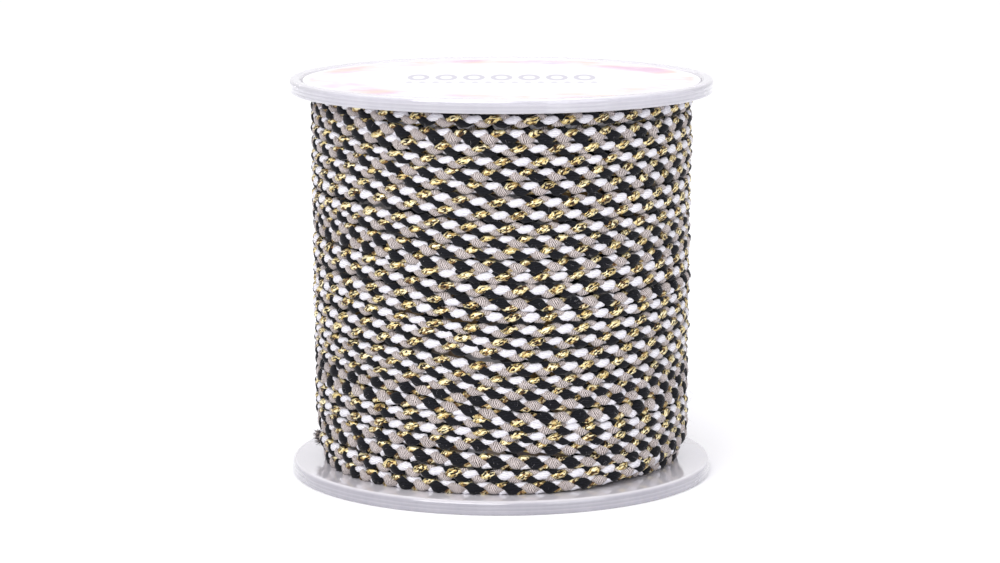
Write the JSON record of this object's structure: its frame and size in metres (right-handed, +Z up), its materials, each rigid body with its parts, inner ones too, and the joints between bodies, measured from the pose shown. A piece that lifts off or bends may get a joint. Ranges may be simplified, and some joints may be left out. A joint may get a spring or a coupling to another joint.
{
  "type": "braided cotton and metallic cord on a spool",
  "caption": "Clear plastic spool with two round flanges and a paper label, wound with a thin round braided cord in white, black, grey and gold.",
  "frame": {"origin": "middle of the spool's underside", "axes": "+Z up along the spool's axis, the side where the cord steps from course to course faces -Y"},
  "size_m": [0.052, 0.052, 0.049],
  "materials": {
    "clear_plastic": "clear moulded polystyrene, smooth and glossy with a faint cool haze",
    "label_paper": "smooth white coated paper",
    "braided_cord": "round braid of white, black and grey cotton strands and one strand of crinkled gold foil",
    "frayed_cord": "loose black and grey cotton fibres"
  },
  "bodies": {
    "root": {"flange_lower": "clear_plastic", "barrel": "clear_plastic", "flange_upper": "clear_plastic", "label": "label_paper", "winding": "braided_cord", "cord_end": "frayed_cord"}
  },
  "joints": []
}
